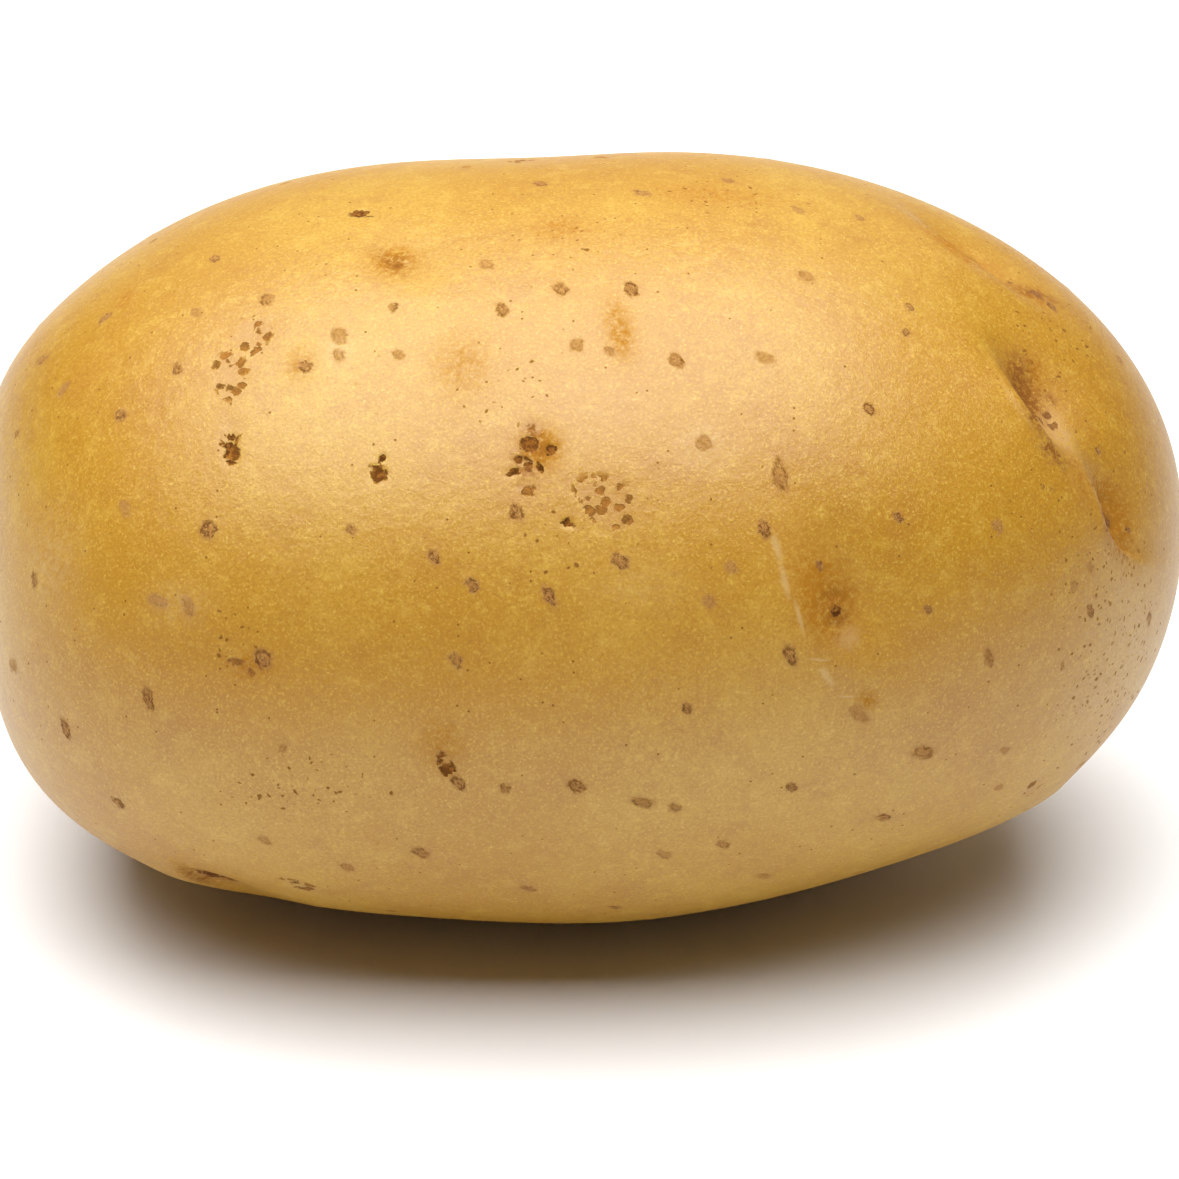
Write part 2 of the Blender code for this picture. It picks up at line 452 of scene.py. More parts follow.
PATCHES = (
    # The waist and the top
    *patches(
        Tint.OCHRE,
        (-3.8, 45.8, 3, 2.6, 90, 1.7), (-11.2, 32.7, 5.5, 4, 90, 0.45),
        (3.4, 27.5, 5, 1.8, 100, 0.9), (-2.1, 7, 6, 3.6, 0, 0.6), (12.7, -2, 11, 4, 0, 0.6),
        (-17.8, 12, 4.2, 3.4, 90, 1.3),
    ),
    *patches(
        Tint.UMBER_AND_SHADE,
        (-4.5, 43.2, 1.6, 1, 150, 0.8), (-3.9, 45.8, 1.8, 1.4, 120, 0.7),
        (-5.4, 48.4, 2.6, 1.4, 120, 0.7), (-17.6, 12.6, 2.4, 1.8, 120, 0.75),
    ),
    *patches(
        Tint.SPECKS,
        (-2.1, 8, 6, 4.5, 0, 1), (12.7, -1, 10, 3.5, 0, 1), (-7.6, 36, 7, 4, 0, 0.8),
        (-2, 59, 5, 4, 0, 0.7),
    ),
    *patches(
        Tint.DUSTY,
        (1.6, 40, 10, 6, 0, 0.2), (10.6, 45.5, 4.5, 4, 0, 0.4), (5.2, 65.6, 8, 3.5, 0, 0.3),
    ),
    # The heel
    *patches(
        Tint.OCHRE,
        (-45, 6, 3, 1.6, 100, 0.9), (-26.1, 31, 3, 2.4, 90, 0.5), (-49, 25, 7, 5, 90, 0.5),
        # The last one, a long band along the lower front, is partly deeper gold skin and partly
        # painted shade where the front turns from the light.
        (-29.6, 78.6, 3.8, 2, 0, 0.9), (-12.7, 89.5, 4, 3.4, 90, 0.6), (-2, 76, 60, 11, 0, 0.22),
    ),
    *patches(
        Tint.UMBER_AND_SHADE,
        (-33.7, 135, 5, 2.6, 150, 0.7),
    ),
    *patches(
        Tint.DUSTY,
        (-22.5, 29, 2.6, 2, 90, 0.5), (-36.4, 69.5, 5, 3.4, 0, 0.5), (-52, 64, 9, 7, 90, 0.5),
    ),
    *patches(
        Tint.SPECKS,
        (-24.2, 99, 8, 5, 0, 1.2), (-31, 77, 5, 4, 90, 1), (-31.5, 27, 7, 5.5, 105, 0.7),
    ),
    # The belly's eye
    *patches(
        Tint.OCHRE,
        (22.4, 67.8, 7.6, 5, 112, 1.4), (26.8, 85.8, 2.2, 1.6, 125, 0.8),
    ),
    *patches(
        Tint.UMBER_AND_SHADE,
        (23.6, 69.6, 3, 2.2, 110, 0.7),
    ),
    *patches(
        Tint.DUSTY,
        (24.8, 74.6, 1.8, 1.8, 90, 1.3),
    ),
    # The eyes of the rose end
    *patches(
        Tint.OCHRE,
        (48, 21.5, 5, 2.6, 100, 1), (46.8, 25.5, 6.4, 4.6, 115, 1.2),
        (51.5, 45.5, 6, 2.4, 120, 0.9), (59.9, 54.2, 6.4, 4.2, 119, 1.8),
        (37.2, -2.4, 6.2, 3.4, 155, 1.4), (45.7, -1.8, 6, 2.8, 17, 0.9),
    ),
    # Painted shade: these umber patches darken the walls of the eyes' hollows and the fold between
    # them, over their brown.
    *patches(
        Tint.UMBER_AND_SHADE,
        (46.5, 23.2, 3.8, 2.4, 106, 1.3), (47.2, 27.8, 4, 3, 110, 1.6),
        (45.2, 34.8, 3, 1.6, 122, 1.3), (47.4, 41.1, 3.4, 1.6, 151, 1.1),
        (46.6, -2.6, 5.4, 1.8, 17, 0.8), (50.6, 25.4, 0.9, 0.7, 100, 1.3),
        (56.6, 55.2, 3.2, 1.6, 123, 1.3), (58, 25, 26, 18, 100, 0.2),
    ),
    *patches(
        Tint.DUSTY,
        (50.2, 33.8, 4.4, 3, 120, 1.7), (38.9, 0.6, 2.2, 1.5, 155, 1.2),
        (61.5, 92, 15, 10, 100, 0.6), (56, 106, 11, 8, 100, 0.5),
    ),
    *patches(
        Tint.SPECKS,
        (60, 86, 22, 10, 100, 1.7), (50, 12, 10, 6, 60, 0.9),
    ),
    # The sides that face away
    *patches(
        Tint.OCHRE,
        (-30, -40, 8, 5, 20, 0.6), (16, -100, 10, 5, 150, 0.6), (30, 170, 9, 6, 40, 0.6),
        (-46, -150, 8, 6, 0, 0.6),
    ),
    *patches(
        Tint.DUSTY,
        (0, 178, 22, 14, 0, 0.8), (-60, -80, 12, 9, 90, 0.7), (62, -100, 12, 9, 90, 0.8),
    ),
    *patches(
        Tint.SPECKS,
        (64, -100, 14, 9, 90, 1.2), (-8, -60, 8, 5, 20, 1), (-30, -120, 9, 6, 60, 1),
        (20, 160, 9, 6, 0, 1),
    ),
    *patches(
        Tint.UMBER_AND_SHADE,
        (-84, 40, 4, 4, 90, 1),
    ),
)


# ---- laying nodes


class NodeBench:
    """Lays nodes in one tree and wires them up, one call to a node."""

    def __init__(self, tree: bpy.types.NodeTree) -> None:
        """Keeps the tree that the nodes go in."""
        self.tree = tree

    @staticmethod
    def socket(sockets: Any, key: int | str) -> Socket:
        """Picks a socket by its number, or the one in use that has a name.

        Args:
            sockets: A node's inputs or outputs.
            key: The socket's number or name.

        Returns:
            The socket.
        """
        if isinstance(key, int):
            return sockets[key]
        return next(s for s in sockets if s.name == key and s.enabled)

    def add(
        self, kind: str, wires: dict[int | str, Any] | None = None, **settings: Any
    ) -> bpy.types.Node:
        """Adds a node.

        Args:
            kind: The node's type.
            wires: What goes into each input: another node's output, or a plain value.
            settings: The node's own settings.

        Returns:
            The node.
        """
        node = self.tree.nodes.new(kind)
        for name, value in settings.items():
            setattr(node, name, value)
        for key, value in (wires or {}).items():
            socket = self.socket(node.inputs, key)
            if isinstance(value, Socket):
                self.tree.links.new(value, socket)
            else:
                socket.default_value = value
        return node

    def math(self, operation: str, *values: Any, clamp: bool = False) -> Socket:
        """Adds a Math node and gives its result."""
        wires = dict(enumerate(values))
        return self.add("ShaderNodeMath", wires, operation=operation, use_clamp=clamp).outputs[0]

    def times(self, value: Any, factor: Any, clamp: bool = False) -> Socket:
        """Multiplies two numbers."""
        return self.math("MULTIPLY", value, factor, clamp=clamp)

    def times_plus(self, value: Any, factor: Any, term: Any, clamp: bool = False) -> Socket:
        """Multiplies two numbers and adds a third."""
        return self.math("MULTIPLY_ADD", value, factor, term, clamp=clamp)

    def vector(self, operation: str, *values: Any) -> Socket:
        """Adds a Vector Math node and gives its result, a number for a length or a dot product."""
        node = self.add("ShaderNodeVectorMath", dict(enumerate(values)), operation=operation)
        return next(s for s in node.outputs if s.enabled)

    def scaled(self, vector: Any, scale: Any) -> Socket:
        """Scales a vector."""
        wires = {0: vector, "Scale": scale}
        return self.add("ShaderNodeVectorMath", wires, operation="SCALE").outputs[0]


class ShaderBench(NodeBench):
    """Lays a material's nodes. Lengths in it are in millimetres."""

    def step(self, value: Any, low: float, high: float) -> Socket:
        """Makes a smooth S of a value.

        Args:
            value: The value.
            low: Where the result is 0. It may be the greater of the two.
            high: Where the result is 1.

        Returns:
            The result, from 0 to 1.
        """
        swap = low > high
        start, end = (high, low) if swap else (low, high)
        wires = {"Value": value, "From Min": start, "From Max": end}
        wires["To Min"], wires["To Max"] = (1.0, 0.0) if swap else (0.0, 1.0)
        return self.add("ShaderNodeMapRange", wires, interpolation_type="SMOOTHSTEP").outputs[0]

    def mix(self, share: Any, under: Any, over: Any) -> Socket:
        """Lays one colour over another.

        Args:
            share: How much of the upper colour shows, from 0 to 1.
            under: The lower colour.
            over: The upper colour.

        Returns:
            The blended colour.
        """
        wires = {0: share, 6: under, 7: over}
        return self.add("ShaderNodeMix", wires, data_type="RGBA").outputs[2]

    def noise(
        self, at: Any, per_mm: float, detail: float = 2.0, roughness: float = 0.5
    ) -> bpy.types.Node:
        """Adds a noise pattern.

        Args:
            at: The point, in millimetres.
            per_mm: How many waves there are to a millimetre.
            detail: How many finer layers it has.
            roughness: How strong the finer layers are.

        Returns:
            The node.
        """
        wires = {"Vector": at, "Scale": per_mm, "Detail": detail, "Roughness": roughness}
        return self.add("ShaderNodeTexNoise", wires)

    def cells(self, at: Any, per_mm: float, feature: str = "F1") -> bpy.types.Node:
        """Adds a pattern of cells."""
        wires = {"Vector": at, "Scale": per_mm}
        return self.add("ShaderNodeTexVoronoi", wires, feature=feature)

    def attribute(self, name: str) -> bpy.types.Node:
        """Reads one of the mesh's attributes."""
        return self.add("ShaderNodeAttribute", attribute_name=name)


# ---- the skin's finish


@dataclass(frozen=True)
class SkinFinish:
    """Satin potato skin: grainy gold and tan, with stains, netting, lenticels and scabs."""

    gold: Colour = (0.375, 0.182, 0.006, 1)
    tan: Colour = (0.415, 0.228, 0.018, 1)
    ochre: Colour = (0.315, 0.130, 0.007, 1)
    pale: Colour = (0.58, 0.385, 0.06, 1)
    # Orange of the ochre tint: real stains, and painted shade in the band along the lower front
    warm: Colour = (0.31, 0.122, 0.006, 1)
    # Dark umber: real brown patches, and painted shade in the eyes' creases and hollows
    crease: Colour = (0.19, 0.066, 0.007, 1)
    dusty: Colour = (0.48, 0.310, 0.110, 1)
    speck: Colour = (0.13, 0.046, 0.006, 1)
    cork_light: Colour = (0.30, 0.128, 0.042, 1)
    cork_dark: Colour = (0.115, 0.036, 0.008, 1)
    scab: Colour = (0.070, 0.020, 0.003, 1)
    scab_light: Colour = (0.27, 0.100, 0.016, 1)
    gloss: Colour = (1, 1, 1, 1)
    cork_gloss: Colour = (0.22, 0.13, 0.07, 1)
    specular: float = 0.58
    roughness: float = 0.37
    grain_roughness: float = 0.10
    cork_roughness: float = 0.5
    stain_and_shade_cork: float = 0.85
    grain_height: float = 0.030
    wave_height: float = 0.08

    def build(self) -> bpy.types.Material:
        """Builds the material.

        Returns:
            The potato skin's material.
        """
        material = bpy.data.materials.new("potato_skin")
        material.use_nodes = True
        bench = SkinBench(material.node_tree, self)
        colour = bench.ground()
        grain, specks, colour = bench.grain(colour)
        colour, stain_and_shade = bench.stains_and_shade(colour)
        colour, cork, height = bench.marks(colour)
        shader = material.node_tree.nodes["Principled BSDF"]
        shader.inputs["Specular IOR Level"].default_value = self.specular
        matt = bench.math("MAXIMUM", cork, specks)
        matt = bench.math("MAXIMUM", matt, bench.times(stain_and_shade, self.stain_and_shade_cork))
        rough = bench.times_plus(matt, self.cork_roughness, self.roughness)
        rough = bench.times_plus(grain, self.grain_roughness, rough)
        wires = {
            "Base Color": colour,
            "Roughness": rough,
            "Specular Tint": bench.mix(matt, self.gloss, self.cork_gloss),
            "Normal": bench.bump(grain, height),
        }
        for name, socket in wires.items():
            material.node_tree.links.new(socket, shader.inputs[name])
        return material


class SkinBench(ShaderBench):
    """Lays the nodes of the potato's skin."""

    def __init__(self, tree: bpy.types.NodeTree, look: SkinFinish) -> None:
        """Keeps the finish and lays the nodes that give the point, in millimetres.

        Args:
            tree: The material's tree.
            look: The finish's colours and measures.
        """
        super().__init__(tree)
        self.look = look
        self.at = self.scaled(self.add("ShaderNodeTexCoord").outputs["Object"], 1 / MM)

    def ground(self) -> Socket:
        """Colours the bare skin: broad gold and tan drifts, mottled and faintly netted with ochre.

        Returns:
            The colour.
        """
        at = self.at
        drift = self.step(self.noise(at, 0.035, 3, 0.55).outputs[0], 0.42, 0.66)
        colour = self.mix(drift, self.look.gold, self.look.tan)
        mottle = self.step(self.noise(at, 0.22, 5, 0.65).outputs[0], 0.48, 0.74)
        colour = self.mix(self.times(mottle, 0.5), colour, self.look.ochre)
        cloud = self.step(self.noise(at, 0.55, 4, 0.65).outputs[0], 0.50, 0.68)
        colour = self.mix(self.times(cloud, 0.22), colour, self.look.pale)
        warp = self.scaled(self.noise(at, 0.8, 3, 0.6).outputs["Color"], 1.6)
        edges = self.cells(self.vector("ADD", at, warp), 0.75, "DISTANCE_TO_EDGE").outputs[0]
        net = self.step(edges, 0.16, 0.0)
        where = self.step(self.noise(at, 0.09, 2).outputs[0], 0.48, 0.62)
        net = self.times(self.times(net, where), 0.30)
        return self.mix(net, colour, self.look.ochre)

    def grain(self, colour: Any) -> tuple[Any, Any, Any]:
        """Adds the fine grain, a few pale flecks and pin-point specks.

        Args:
            colour: The colour so far.

        Returns:
            The grain from 0 to 1, how much a speck covers the skin, and the colour.
        """
        at = self.at
        grain = self.noise(at, 4.2, 3, 0.7).outputs[0]
        light = self.times(self.step(grain, 0.50, 0.74), 0.62)
        colour = self.mix(light, colour, self.look.pale)
        deep = self.times(self.step(grain, 0.50, 0.26), 0.75)
        colour = self.mix(deep, colour, self.look.ochre)
        fleck = self.times(self.dots(at, 1.1, 0.80, 0.15), 0.55)
        colour = self.mix(fleck, colour, self.look.pale)
        speck = self.dots(self.vector("ADD", at, (7.3, 1.9, 4.1)), 1.2, 0.82, 0.16)
        speck = self.times(speck, 0.8)
        crowd = self.attribute("specks").outputs["Fac"]
        crowd_at = self.vector("ADD", at, self.scaled(self.noise(at, 1.1, 2).outputs["Color"], 0.9))
        cell = self.cells(crowd_at, 1.7)
        chance_split = self.add("ShaderNodeSeparateColor", {0: cell.outputs["Color"]})
        there = self.step(self.times_plus(crowd, 0.65, chance_split.outputs[0]), 0.98, 1.04)
        spread = self.times_plus(chance_split.outputs[1], 0.22, cell.outputs["Distance"])
        dot = self.times(self.step(spread, 0.42, 0.24), there)
        speck = self.math("MAXIMUM", speck, self.times(dot, 0.8))
        return grain, speck, self.mix(speck, colour, self.look.speck)

    def dots(self, at: Any, per_mm: float, rarity: float, radius: float) -> Any:
        """Draws sparse round dots.

        Args:
            at: The point, in millimetres.
            per_mm: How many cells there are to a millimetre, each with room for one dot.
            rarity: The share of cells that stay empty.
            radius: The dots' radius, in cells.

        Returns:
            1 in the dots and 0 between.
        """
        cell = self.cells(at, per_mm)
        chance = self.add("ShaderNodeSeparateColor", {0: cell.outputs["Color"]}).outputs[0]
        dot = self.step(cell.outputs["Distance"], radius, radius / 2)
        return self.times(dot, self.step(chance, rarity, rarity + 0.04))

    def stains_and_shade(self, colour: Any) -> tuple[Any, Any]:
        """Lays the ochre, umber and dusty tints over the skin, with ragged edges.

        Args:
            colour: The colour so far.

        Returns:
            The colour, and how much the stained patches and their painted shade cover the skin.
        """
        at = self.at
        ragged = self.times_plus(self.noise(at, 1.9, 5, 0.8).outputs[0], 5.5, -2.0)
        ragged = self.math("MAXIMUM", ragged, 0.12)
        tints = self.add("ShaderNodeSeparateXYZ", {0: self.attribute("tints").outputs["Vector"]})
        dusty = self.times(tints.outputs[2], ragged, clamp=True)
        colour = self.mix(self.times(dusty, 0.85), colour, self.look.dusty)
        # Ochre and umber both carry painted shade: the band along the lower front, and the eyes'
        # creases and hollows.
        ochre = self.times(tints.outputs[0], ragged, clamp=True)
        colour = self.mix(self.times(ochre, 0.9), colour, self.look.warm)
        umber = self.times(tints.outputs[1], ragged, clamp=True)
        stain_and_shade = self.math("MAXIMUM", umber, ochre)
        return self.mix(umber, colour, self.look.crease), stain_and_shade

    def marks(self, colour: Any) -> tuple[Any, Any, Any]:
        """Draws the mark that each face is nearest to.

        Args:
            colour: The colour so far.

        Returns:
            The colour, how much cork covers the skin, and the cork's height in millimetres.
        """
        at = self.at
        warp = self.noise(at, 1.7, 3, 0.6).outputs["Color"]
        warp = self.vector("SUBTRACT", warp, (0.5, 0.5, 0.5))
        offset = self.vector("SUBTRACT", at, self.attribute("mark_middle").outputs["Vector"])
        look = self.add("ShaderNodeSeparateXYZ", {0: self.attribute("mark_look").outputs["Vector"]})
        tone, broken = look.outputs[0], look.outputs[1]
        line = self.step(tone, -0.3, -0.6)
        sway = self.times_plus(line, -0.75, 0.95)
        offset = self.vector("ADD", offset, self.scaled(warp, sway))
        along = self.vector("DOT_PRODUCT", offset, self.attribute("mark_along").outputs["Vector"])
        across = self.vector("DOT_PRODUCT", offset, self.attribute("mark_across").outputs["Vector"])
        flat = self.add("ShaderNodeCombineXYZ", {0: along, 1: across}).outputs[0]
        reach = self.vector("LENGTH", flat)

        halo = self.times(self.step(reach, 1.9, 0.9), self.times_plus(broken, -0.04, 0.16))
        halo = self.times(halo, self.math("SUBTRACT", 1.0, line))
        colour = self.mix(halo, colour, self.look.warm)
        lenticel, lenticel_cover, wrinkle = self.lenticel(along, across, reach, tone)
        ragged_at = self.vector("ADD", at, self.scaled(warp, 0.7))
        scab, scab_cover = self.scab_pieces(ragged_at, reach, tone)
        web = self.times(self.step(reach, 1.2, 0.6), self.math("SUBTRACT", 1.0, tone, clamp=True))
        colour = self.mix(self.times(self.times(web, broken), 0.3), colour, self.look.cork_light)
        whole = self.math("SUBTRACT", 1.0, broken)
        cover = self.times(lenticel_cover, whole)
        cover = self.math("ADD", cover, self.times(scab_cover, broken))
        cork = self.times(cover, self.math("SUBTRACT", 1.0, line))
        colour = self.mix(cork, colour, self.mix(broken, lenticel, scab))
        scratch = self.times(self.step(reach, 1.5, 0.2), self.times(line, 0.6))
        colour = self.mix(scratch, colour, self.look.dusty)
        height = self.times(cork, self.times_plus(broken, -0.05, -0.02))
        height = self.times_plus(self.times(wrinkle, cork), -0.03, height)
        return colour, cork, height

    def lenticel(self, along: Any, across: Any, reach: Any, tone: Any) -> tuple[Any, Any, Any]:
        """Draws a lenticel: a darker ring round wrinkled cork with pale crumbs.

        Args:
            along: How far along the mark the point is, in half-lengths.
            across: How far across it, in half-widths.
            reach: How far from its middle, from 0 to 1 at its edge.
            tone: How dark it is, from 0 to 1.

        Returns:
            The colour, how much it covers the skin, and its wrinkles from 0 to 1.
        """
        at = self.at
        cover = self.step(reach, 1.35, 0.55)
        ring = self.step(self.math("ABSOLUTE", self.math("SUBTRACT", reach, 0.78)), 0.30, 0.0)
        ring = self.times(ring, self.step(self.noise(at, 1.6, 2).outputs[0], 0.38, 0.58))
        wrinkle_at = self.add("ShaderNodeCombineXYZ", {0: along, 1: self.times(across, 2.2)})
        wrinkle_at = self.vector("ADD", wrinkle_at.outputs[0], self.scaled(at, 0.9))
        wrinkle = self.step(self.noise(wrinkle_at, 2.0, 3, 0.7).outputs[0], 0.46, 0.62)
        darkness = self.times_plus(ring, 0.9, self.times(wrinkle, 0.75))
        darkness = self.times(darkness, self.times_plus(tone, 1.0, 0.25), clamp=True)
        colour = self.mix(darkness, self.look.cork_light, self.look.cork_dark)
        crumbs = self.times(self.step(self.noise(at, 4.5, 2).outputs[0], 0.58, 0.68), 0.45)
        colour = self.mix(crumbs, colour, self.look.dusty)
        cover = self.times(cover, self.times_plus(darkness, 0.45, 0.6))
        return colour, self.times(cover, self.times_plus(tone, 0.45, 0.53)), wrinkle

    def scab_pieces(self, at: Any, reach: Any, tone: Any) -> tuple[Any, Any]:
        """Draws a scab as separate angular pieces of dark cork, more of them the darker it is.

        Args:
            at: The point, in millimetres.
            reach: How far from the mark's middle, from 0 to 1 at its edge.
            tone: How dark it is, from 0 to 1.

        Returns:
            The colour, and how much the pieces cover the skin.
        """
        cell = self.cells(at, 1.0)
        chance = self.add("ShaderNodeSeparateColor", {0: cell.outputs["Color"]})
        limit = self.times_plus(reach, 0.25, self.times_plus(tone, -0.95, 0.60))
        kept = self.step(self.math("SUBTRACT", chance.outputs[0], limit), 0.0, 0.05)
        size = self.times_plus(chance.outputs[2], 0.20, self.times_plus(tone, 0.45, 0.14))
        piece = self.step(self.math("SUBTRACT", cell.outputs["Distance"], size), 0.07, -0.06)
        cover = self.times(self.times(piece, kept), self.step(reach, 1.3, 0.95))
        lightness = self.times(chance.outputs[1], self.math("SUBTRACT", 1.35, tone), clamp=True)
        mottle = self.step(self.noise(at, 2.2, 3, 0.7).outputs[0], 0.45, 0.62)
        lightness = self.times_plus(mottle, 0.7, self.times(lightness, 0.8), clamp=True)
        strength = self.times_plus(tone, 0.40, 0.57)
        colour = self.mix(lightness, self.look.scab, self.look.scab_light)
        return colour, self.times(cover, strength)

    def bump(self, grain: Any, height: Any) -> Any:
        """Turns the fine relief into a bumped normal.

        Args:
            grain: The grain from 0 to 1.
            height: The cork's height in millimetres.

        Returns:
            The normal.
        """
        at = self.at
        height = self.times_plus(grain, self.look.grain_height, height)
        waves = self.noise(at, 0.9, 4, 0.6).outputs[0]
        height = self.times_plus(waves, self.look.wave_height, height)
        wires = {"Strength": 1.0, "Distance": MM, "Height": height}
        return self.add("ShaderNodeBump", wires).outputs[0]


# ---- strewing and stamping marks


class StampBench(NodeBench):
    """Lays the nodes that strew lenticels and stamp marks on the skin."""

    def named(self, name: str, kind: str = "FLOAT_VECTOR") -> Socket:
        """Reads an attribute of the geometry."""
        reader = self.add("GeometryNodeInputNamedAttribute", {"Name": name}, data_type=kind)
        return reader.outputs[0]

    def all_marks(self, inputs: bpy.types.Node) -> Socket:
        """Lays the nodes that strew lenticels and join the placed marks to them.

        Args:
            inputs: The tree's input node.

        Returns:
            Points with the axes and the look of each mark.
        """
        seed = inputs.outputs["Seed"]
        wires = {
            "Mesh": inputs.outputs["Skin"],
            "Distance Min": inputs.outputs["Spacing"],
            "Density Max": inputs.outputs["Density"],
            "Density Factor": self.named("mark_room", "FLOAT"),
            "Seed": seed,
        }
        kind = "GeometryNodeDistributePointsOnFaces"
        strewn = self.add(kind, wires, distribute_method="POISSON")
        longest, shortest = inputs.outputs["Longest"], inputs.outputs["Shortest"]
        half_length = self.times(self.random(shortest, longest, seed, 1), 0.5)
        half_width = self.times(half_length, self.random(0.5, 0.85, seed, 2))
        angle = self.random(0.0, math.pi, seed, 3)
        cosine, sine = self.math("COSINE", angle), self.math("SINE", angle)
        minus_sine = self.times(sine, -1.0)
        points = strewn.outputs["Points"]
        turned = strewn.outputs["Rotation"]
        for name, pair, half in (
            ("mark_along", (cosine, sine), half_length),
            ("mark_across", (minus_sine, cosine), half_width),
        ):
            flat = self.add("ShaderNodeCombineXYZ", {0: pair[0], 1: pair[1]}).outputs[0]
            axis = self.add("FunctionNodeRotateVector", {"Vector": flat, "Rotation": turned})
            axis = self.scaled(axis.outputs[0], self.math("DIVIDE", 1.0, half))
            points = self.keep(points, name, axis, "POINT")
        tone = self.random(0.05, 0.7, seed, 4)
        look = self.add("ShaderNodeCombineXYZ", {0: tone, 1: 0.0, 2: 0.04}).outputs[0]
        points = self.keep(points, "mark_look", look, "POINT")
        placed = self.add("GeometryNodeObjectInfo", {"Object": inputs.outputs["Placed marks"]})
        placed = self.add("GeometryNodeMeshToPoints", {"Mesh": placed.outputs["Geometry"]})
        joined = self.add("GeometryNodeJoinGeometry", {0: points})
        self.tree.links.new(placed.outputs[0], joined.inputs[0])
        return joined.outputs[0]

    def random(self, low: Any, high: Any, seed: Any, stream: int) -> Socket:
        """Draws a random number for each point, the same in each run."""
        wires = {"Min": low, "Max": high, "Seed": self.math("ADD", seed, float(stream))}
        return self.add("FunctionNodeRandomValue", wires).outputs[1]

    def keep(self, geometry: Any, name: str, value: Any, domain: str) -> Any:
        """Stores a vector as an attribute.

        Args:
            geometry: What it is stored on.
            name: The attribute's name.
            value: The vector.
            domain: "POINT" or "FACE".

        Returns:
            The geometry with the attribute.
        """
        wires = {"Geometry": geometry, "Name": name, "Value": value}
        settings = {"data_type": "FLOAT_VECTOR", "domain": domain}
        return self.add("GeometryNodeStoreNamedAttribute", wires, **settings).outputs[0]

    def stamp(self, skin: Any, marks: Any) -> Any:
        """Lays the nodes that lift the skin's points and give its faces their nearest mark.

        Args:
            skin: The skin's mesh.
            marks: Points with the axes and the look of each mark.

        Returns:
            The stamped skin.
        """
        nearest = self.add("GeometryNodeSampleNearest", {"Geometry": marks}, domain="POINT")

        def of_mark(value: Any) -> Socket:
            """Reads a value of the nearest mark.

            Args:
                value: The value, as the marks have it.

            Returns:
                The value of the mark that the point or face is nearest to.
            """
            wires = {"Geometry": marks, "Value": value, "Index": nearest.outputs[0]}
            settings = {"data_type": "FLOAT_VECTOR", "domain": "POINT"}
            return self.add("GeometryNodeSampleIndex", wires, **settings).outputs[0]

        here = self.add("GeometryNodeInputPosition").outputs[0]
        middle = of_mark(self.add("GeometryNodeInputPosition").outputs[0])
        names = ("mark_along", "mark_across", "mark_look")
        along, across, look = (of_mark(self.named(name)) for name in names)
        offset = self.scaled(self.vector("SUBTRACT", here, middle), 1 / MM)
        u = self.vector("DOT_PRODUCT", offset, along)
        v = self.vector("DOT_PRODUCT", offset, across)
        square = self.times_plus(u, u, self.times(v, v))
        swell = self.math("EXPONENT", self.times(square, -1.2))
        lift = self.times(self.add("ShaderNodeSeparateXYZ", {0: look}).outputs[2], swell)
        normal = self.add("GeometryNodeInputNormal").outputs[0]
        wires = {"Geometry": skin, "Offset": self.scaled(normal, self.times(lift, MM))}
        skin = self.add("GeometryNodeSetPosition", wires).outputs[0]
        skin = self.keep(skin, "mark_middle", self.scaled(middle, 1 / MM), "FACE")
        for name, vector in zip(names, (along, across, look)):
            skin = self.keep(skin, name, vector, "FACE")
        return skin


